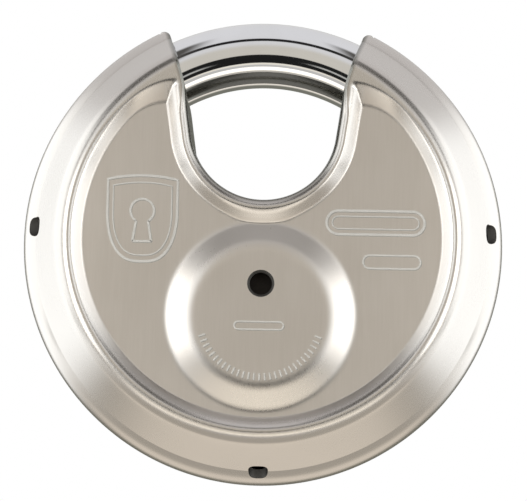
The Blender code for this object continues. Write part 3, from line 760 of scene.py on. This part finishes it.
# ---------------------------------------------------------------- materials
class Finish:
    """A Principled material with helpers for its nodes."""

    def __init__(self, name, colour, roughness, metallic=1.0):
        self.material = bpy.data.materials.new(name)
        self.material.use_nodes = True
        self.tree = self.material.node_tree
        self.shader = self.tree.nodes["Principled BSDF"]
        self.shader.inputs["Base Color"].default_value = (*colour, 1.0)
        self.shader.inputs["Roughness"].default_value = roughness
        self.shader.inputs["Metallic"].default_value = metallic
        self.place = self.tree.nodes.new("ShaderNodeTexCoord").outputs["Object"]

    def node(self, kind, **values):
        node = self.tree.nodes.new(kind)
        for name, value in values.items():
            setattr(node, name, value)
        return node

    def link(self, source, target):
        self.tree.links.new(source, target)

    def stretched(self, scale):
        mapping = self.node("ShaderNodeMapping")
        mapping.inputs["Scale"].default_value = scale
        self.link(self.place, mapping.inputs["Vector"])
        return mapping.outputs["Vector"]

    def noise(self, scale, size, detail=3.0, rough=0.6):
        noise = self.node("ShaderNodeTexNoise")
        noise.inputs["Scale"].default_value = size
        noise.inputs["Detail"].default_value = detail
        noise.inputs["Roughness"].default_value = rough
        self.link(self.stretched(scale), noise.inputs["Vector"])
        return noise.outputs["Fac"]

    def spread(self, value, low, high, start=0.3, end=0.7):
        mapped = self.node("ShaderNodeMapRange")
        mapped.inputs["From Min"].default_value = start
        mapped.inputs["From Max"].default_value = end
        mapped.inputs["To Min"].default_value = low
        mapped.inputs["To Max"].default_value = high
        self.link(value, mapped.inputs["Value"])
        return mapped.outputs["Result"]

    def blend(self, value, first, second):
        """Mix two colours, each either fixed or from another node."""
        mix = self.node("ShaderNodeMix", data_type="RGBA")
        for colour, socket in ((first, mix.inputs["A"]), (second, mix.inputs["B"])):
            if isinstance(colour, tuple):
                socket.default_value = (*colour, 1.0)
            else:
                self.link(colour, socket)
        self.link(value, mix.inputs["Factor"])
        return mix.outputs["Result"]

    def combine(self, first, second, operation="ADD"):
        node = self.node("ShaderNodeMath", operation=operation)
        for value, socket in ((first, node.inputs[0]), (second, node.inputs[1])):
            if isinstance(value, (int, float)):
                socket.default_value = value
            else:
                self.link(value, socket)
        return node.outputs["Value"]

    def tint(self, colour):
        self.link(colour, self.shader.inputs["Base Color"])

    def dull(self, roughness):
        self.link(roughness, self.shader.inputs["Roughness"])

    def bump(self, height, distance, strength=1.0):
        bump = self.node("ShaderNodeBump")
        bump.inputs["Distance"].default_value = distance
        bump.inputs["Strength"].default_value = strength
        self.link(height, bump.inputs["Height"])
        self.link(bump.outputs["Normal"], self.shader.inputs["Normal"])


def brushed_stainless():
    """Satin stainless: brushed up and down on the panel, polished on the rim, and darkened along the opening's
    edge by painted shade.
    """
    finish = Finish("brushed_stainless", (0.66, 0.638, 0.605), 0.36)
    lines = finish.noise((1.0, 1.0, 0.035), 5200.0, 2.0)
    broad = finish.noise((1.0, 1.0, 0.12), 420.0, 2.0)
    cloud = finish.noise((1.0, 1.0, 1.0), 70.0, 3.0)
    tone = finish.combine(finish.spread(lines, 0.0, 0.45), finish.spread(broad, 0.0, 0.35))
    tone = finish.combine(tone, finish.spread(cloud, 0.0, 0.2))
    brushed = finish.blend(tone, (0.585, 0.535, 0.475), (0.630, 0.578, 0.517))
    edge = finish.node("ShaderNodeAttribute", attribute_name="edge").outputs["Fac"]
    polish = finish.node("ShaderNodeAttribute", attribute_name="polish").outputs["Fac"]
    colour = finish.blend(finish.combine(polish, 0.85, "MULTIPLY"), brushed, (0.605, 0.570, 0.527))
    # painted shade: near the opening's edge the colour darkens to near black
    painted_shade_at_edge = finish.spread(edge, 1.0, 0.0, 0.15, 0.75)
    finish.tint(finish.blend(painted_shade_at_edge, colour, (0.20, 0.195, 0.17)))
    rough = finish.combine(finish.spread(lines, 0.34, 0.37), finish.spread(cloud, 0.0, 0.04))
    finish.dull(finish.combine(rough, finish.combine(polish, 0.11, "MULTIPLY"), "SUBTRACT"))
    finish.bump(lines, 0.000002, 0.4)
    return finish.material


def etched_steel(name, dark, light):
    """Frosted lines on the brushed face."""
    finish = Finish(name, light, 0.62)
    frost = finish.noise((1.0, 1.0, 1.0), 4200.0, 4.0, 0.7)
    finish.tint(finish.blend(frost, dark, light))
    finish.dull(finish.spread(frost, 0.45, 0.75))
    finish.bump(frost, 0.00002, 0.8)
    return finish.material


def painted_shade_inside():
    """The unpolished inner side of the pressings, painted near black as the shade inside the closed lock."""
    finish = Finish("painted_shade_inside", (0.06, 0.057, 0.05), 0.55, 0.6)
    stain = finish.noise((1.0, 1.0, 1.0), 500.0, 4.0)
    finish.tint(finish.blend(stain, (0.035, 0.033, 0.03), (0.09, 0.085, 0.075)))
    finish.dull(finish.spread(stain, 0.45, 0.65))
    return finish.material


def polished_steel():
    finish = Finish("polished_shackle", (0.80, 0.80, 0.79), 0.05)
    scratch = finish.noise((1.0, 1.0, 1.0), 2600.0, 4.0, 0.7)
    cloud = finish.noise((1.0, 1.0, 1.0), 160.0, 2.0)
    finish.tint(finish.blend(cloud, (0.76, 0.76, 0.75), (0.84, 0.84, 0.835)))
    finish.dull(finish.spread(scratch, 0.035, 0.075))
    finish.bump(cloud, 0.000004, 0.3)
    return finish.material


def cast_metal(name, colour, roughness, grain):
    finish = Finish(name, colour, roughness)
    speckle = finish.noise((1.0, 1.0, 1.0), grain, 5.0, 0.7)
    darker = tuple(0.78 * part for part in colour)
    finish.tint(finish.blend(speckle, darker, colour))
    finish.dull(finish.spread(speckle, roughness - 0.08, roughness + 0.08))
    finish.bump(speckle, 0.00004, 0.5)
    return finish.material


def machined_metal(name, colour, roughness, axis_scale, painted_shade_behind=None):
    """Turned or drawn metal with the tool's fine lines, and painted dark as shade behind a depth if one is given.
    """
    finish = Finish(name, colour, roughness)
    lines = finish.noise(axis_scale, 3000.0, 2.0)
    tone = finish.blend(lines, tuple(0.86 * part for part in colour), colour)
    rough = finish.spread(lines, roughness - 0.05, roughness + 0.06)
    if painted_shade_behind is not None:
        depth = finish.node("ShaderNodeSeparateXYZ")
        finish.link(finish.place, depth.inputs["Vector"])
        tail_painted_shade = finish.spread(depth.outputs["Y"], 1.0, 0.0, painted_shade_behind - 0.3 * MM, painted_shade_behind + 0.3 * MM)
        tone = finish.blend(tail_painted_shade, tone, (0.035, 0.030, 0.026))
        rough = finish.combine(rough, finish.combine(tail_painted_shade, 0.35, "MULTIPLY"))
    finish.tint(tone)
    finish.dull(rough)
    finish.bump(lines, 0.000004, 0.5)
    return finish.material


# ---------------------------------------------------------------- light, floor and camera
def make_world():
    """A soft studio: bright boxes left and right, pale above, beige in front, and dim behind the lock."""
    world = bpy.data.worlds.new("studio")
    bpy.context.scene.world = world
    world.use_nodes = True
    tree = world.node_tree
    tree.nodes.clear()
    link = tree.links.new

    def node(kind, **values):
        made = tree.nodes.new(kind)
        for name, value in values.items():
            setattr(made, name, value)
        return made

    def math_node(operation, first, second):
        made = node("ShaderNodeMath", operation=operation)
        for value, socket in ((first, made.inputs[0]), (second, made.inputs[1])):
            if isinstance(value, (int, float)):
                socket.default_value = value
            else:
                link(value, socket)
        return made.outputs["Value"]

    def ramp(value, stops):
        made = node("ShaderNodeValToRGB")
        made.color_ramp.interpolation = "B_SPLINE"
        elements = made.color_ramp.elements
        while len(elements) < len(stops):
            elements.new(0.5)
        for element, (at, colour) in zip(elements, stops):
            element.position = at
            element.color = (*colour, 1.0)
        link(value, made.inputs["Fac"])
        return made.outputs["Color"]

    direction = node("ShaderNodeTexCoord").outputs["Generated"]
    split = node("ShaderNodeSeparateXYZ")
    link(direction, split.inputs["Vector"])
    x, y, z = (split.outputs[axis] for axis in "XYZ")
    toward = math_node("MULTIPLY", y, -1.0)
    across = math_node("ABSOLUTE", x, 0.0)

    def fade(value, start, end):
        made = node("ShaderNodeMapRange", interpolation_type="SMOOTHSTEP")
        made.inputs["From Min"].default_value = min(start, end)
        made.inputs["From Max"].default_value = max(start, end)
        made.inputs["To Min"].default_value = 0.0 if start < end else 1.0
        made.inputs["To Max"].default_value = 1.0 if start < end else 0.0
        link(value, made.inputs["Value"])
        return made.outputs["Result"]

    def mix(first, second, factor):
        made = node("ShaderNodeMix", data_type="RGBA")
        if isinstance(factor, float):
            made.inputs["Factor"].default_value = factor
        else:
            link(factor, made.inputs["Factor"])
        for value, socket in ((first, made.inputs["A"]), (second, made.inputs["B"])):
            if isinstance(value, tuple):
                socket.default_value = (*value, 1.0)
            else:
                link(value, socket)
        return made.outputs["Result"]

    def times(*factors):
        total = factors[0]
        for factor in factors[1:]:
            total = math_node("MULTIPLY", total, factor)
        return total

    # backdrop all round: beige in front, lilac above, dim straight behind
    studio = ramp(math_node("ADD", math_node("MULTIPLY", z, 0.5), 0.5), [
        (0.0, (0.58, 0.55, 0.50)), (0.30, (0.52, 0.49, 0.45)), (0.46, (0.58, 0.56, 0.53)),
        (0.60, (0.72, 0.71, 0.70)), (0.80, (0.76, 0.755, 0.77)), (1.0, (0.82, 0.82, 0.86))])
    studio = mix(studio, (1.02, 0.95, 0.86), times(fade(toward, -0.10, -0.30), fade(z, -0.50, -0.70)))
    studio = mix(studio, (0.665, 0.632, 0.575), fade(toward, 0.80, 0.94))
    table = times(fade(toward, 0.70, 0.80), fade(z, -0.14, -0.28))
    studio = mix(studio, (0.95, 0.90, 0.81), table)
    studio = mix(studio, (0.20, 0.20, 0.17), times(fade(y, 0.62, 0.80), fade(z, 0.45, 0.2)))
    # the two tall softboxes at the sides
    lift = math_node("SUBTRACT", z, times(across, 0.14))
    spread = math_node("DIVIDE", math_node("ABSOLUTE", lift, 0.0), math_node("ADD", across, 0.0001))
    boxes = times(fade(spread, 0.95, 0.52), fade(toward, 0.965, 0.90), fade(toward, -0.84, -0.66))
    studio = mix(studio, (1.78, 1.85, 1.92), boxes)
    # the edge of the tent's mouth, wider at its upper corners
    above = times(fade(toward, 0.54, 0.57), fade(toward, 0.71, 0.68), fade(z, 0.30, 0.45))
    studio = mix(studio, (0.02, 0.02, 0.02), above)
    below = times(fade(toward, 0.54, 0.57), fade(toward, 0.78, 0.75), fade(z, 0.45, 0.30))
    studio = mix(studio, (0.60, 0.59, 0.58), below)
    corner = times(fade(z, 0.50, 0.66), fade(across, 0.20, 0.34))
    corner = times(corner, fade(toward, 0.08, 0.28), fade(toward, 0.86, 0.72))
    studio = mix(studio, (0.10, 0.095, 0.09), corner)
    # the camera's own dark shape, split towards its ends
    low = math_node("ADD", z, 0.31)
    wide = times(across, 0.45)
    blob = math_node("SQRT", math_node("ADD", times(wide, wide), times(low, low)), 0.0)
    studio = mix(studio, (0.015, 0.015, 0.015), times(fade(blob, 0.25, 0.225), fade(toward, 0.0, 0.1)))
    in_front = fade(toward, 0.0, 0.1)
    slit = times(fade(math_node("ABSOLUTE", low, 0.0), 0.05, 0.03), fade(across, 0.10, 0.16), in_front)
    studio = mix(studio, (0.50, 0.50, 0.48), slit)
    seen = node("ShaderNodeLightPath").outputs["Is Camera Ray"]
    shown = mix(studio, (1.0, 1.0, 1.0), seen)
    background = node("ShaderNodeBackground")
    link(shown, background.inputs["Color"])
    background.inputs["Strength"].default_value = 1.0
    link(background.outputs["Background"], node("ShaderNodeOutputWorld").inputs["Surface"])


def make_floor():
    """A pale floor well below the hanging lock."""
    level = cad_box[0][2] - 0.10
    reach = 1.2
    steps = 24
    points = []
    for i in range(steps + 1):
        for j in range(steps + 1):
            points.append((reach * (2 * i / steps - 1), reach * (2 * j / steps - 1), level))
    faces = []
    for i in range(steps):
        for j in range(steps):
            a = i * (steps + 1) + j
            faces.append([a, a + 1, a + steps + 2, a + steps + 1])
    floor = new_object("studio_floor", points, faces)
    finish = Finish("pale_floor", (0.86, 0.86, 0.85), 0.75, 0.0)
    mottle = finish.noise((1.0, 1.0, 1.0), 30.0, 4.0)
    finish.tint(finish.blend(mottle, (0.84, 0.84, 0.83), (0.88, 0.88, 0.875)))
    floor.data.materials.append(finish.material)
    floor.visible_glossy = False


def make_card(name, spot, target, size, brightness, colour):
    """A small glowing reflector card, placed and aimed in the disc's own millimetres."""
    data = bpy.data.lights.new(name, "AREA")
    data.shape = "RECTANGLE"
    data.size, data.size_y = (side * MM for side in size)
    data.energy = brightness * math.pi * data.size * data.size_y
    data.color = colour
    card = bpy.data.objects.new(name, data)
    card.location = DISC + Vector(spot) * MM
    card.rotation_euler = ((Vector(target) - Vector(spot)) * MM).to_track_quat("-Z", "Y").to_euler()
    bpy.context.scene.collection.objects.link(card)
    card.visible_camera = False


def make_cards():
    """Cards that catch the boss's sloped ring: cream below it, white on either side."""
    make_card("low_card", (0.0, -62.0, -56.0), (0.0, -12.0, -23.0), (110.0, 26.0), 0.95, (1.0, 0.95, 0.86))
    for side in (-1, 1):
        make_card("side_card", (side * 58.0, -60.0, -5.0), (side * 12.0, -12.0, -11.0), (20.0, 56.0), 2.2,
                  (1.0, 1.0, 0.99))


def make_camera():
    """A long lens nearly square on to the rear face, a little below it."""
    azimuth, elevation, roll = math.radians(0.9), math.radians(-6.5), math.radians(1.1)
    distance = 0.45
    view_width = 77.16 * MM  # what the picture's width takes in at the disc
    back = Vector((math.sin(azimuth) * math.cos(elevation), -math.cos(azimuth) * math.cos(elevation),
                   math.sin(elevation)))
    right = (-back).cross(Vector((0, 0, 1))).normalized()
    up = right.cross(-back)
    right_rolled = right * math.cos(roll) + up * math.sin(roll)
    up_rolled = up * math.cos(roll) - right * math.sin(roll)
    data = bpy.data.cameras.new("camera")
    data.sensor_width = 36.0
    data.lens = data.sensor_width * distance / view_width
    data.shift_x, data.shift_y = 0.00133, -0.00816
    data.clip_start, data.clip_end = 0.01, 20.0
    camera = bpy.data.objects.new("camera", data)
    camera.rotation_mode = "QUATERNION"
    camera.rotation_quaternion = Matrix((right_rolled, up_rolled, back)).transposed().to_quaternion()
    camera.location = DISC + back * distance
    bpy.context.scene.collection.objects.link(camera)
    bpy.context.scene.camera = camera


# ---------------------------------------------------------------- the lock
def show(piece, body, finish, slot, *nodes):
    """Give a made piece its finish, and let it stand for its CAD node on a body."""
    if finish:
        piece.data.materials.clear()
        piece.data.materials.append(finish)
    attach(piece, body)
    if nodes:
        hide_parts(*nodes)


def make_shells(steel, inside):
    """The two pressings; each is punched by one hole in its boss and by the slots across the seam."""
    for name, side, hole, node in (
            ("rear_cover_pressing", -1, ("drain_hole", DRAIN_R, -1, 0.32, 0.45, 48), "rear_shell"),
            ("front_cup_pressing", 1, ("plug_hole", PLUG_HOLE_R, 1, 0.25, 0.35, 96), "front_shell")):
        cutters = [hole_cutter(*hole)] + [drain_cutter(angle) for angle in DRAIN_ANGLES]
        shell = build_shell(name, side, cutters, (steel, inside))
        show(shell, "case", None, "brushed_stainless", node)


def make_shackle(polished):
    bar = bar_sweep("shackle_bar", FREE_END, ARC_LENGTH, BAR_R, 220, 72)
    subtract(bar, stud_slot())
    show(bar, "shackle", polished, "polished_shackle", "shackle")


def dress_inner_nodes(steel):
    finishes = {
        "cast_block": cast_metal("cast_block", (0.48, 0.49, 0.50), 0.52, 900.0),
        "brass": machined_metal("brass", (0.72, 0.55, 0.27), 0.30, (1.0, 12.0, 1.0)),
        "nickel_brass": machined_metal("nickel_brass", (0.70, 0.67, 0.60), 0.24, (1.0, 8.0, 1.0)),
        "spring_steel": machined_metal("spring_steel", (0.55, 0.56, 0.58), 0.28, (1.0, 1.0, 6.0)),
        "hardened_steel": cast_metal("hardened_steel", (0.16, 0.16, 0.17), 0.50, 1500.0),
        "sintered_steel": cast_metal("sintered_steel", (0.06, 0.055, 0.05), 0.62, 2200.0),
        "brushed_stainless": steel,
    }
    # the plug's tail, deep behind the rear hole, is painted dark as shade
    plug_painted_shade_finish = machined_metal("plug_nickel_brass_painted_shade", (0.70, 0.67, 0.60), 0.24, (1.0, 8.0, 1.0), TAIL_Y * MM)
    for part in frame["record"]["subparts"]:
        finish = plug_painted_shade_finish if part["node"] == "plug" else finishes.get(part["material_slot"])
        if finish:
            node = frame["nodes"][part["node"]]
            node.data.materials.clear()
            node.data.materials.append(finish)


def main():
    bpy.context.scene.view_settings.view_transform = "Standard"
    make_world()
    make_floor()
    make_cards()
    make_camera()
    steel = brushed_stainless()
    dress_inner_nodes(steel)
    make_shells(steel, painted_shade_inside())
    make_shackle(polished_steel())
    make_marks(etched_steel("etched_steel", (0.54, 0.52, 0.48), (0.82, 0.80, 0.75)),
               etched_steel("etched_shadow", (0.34, 0.33, 0.30), (0.52, 0.50, 0.46)))


main()
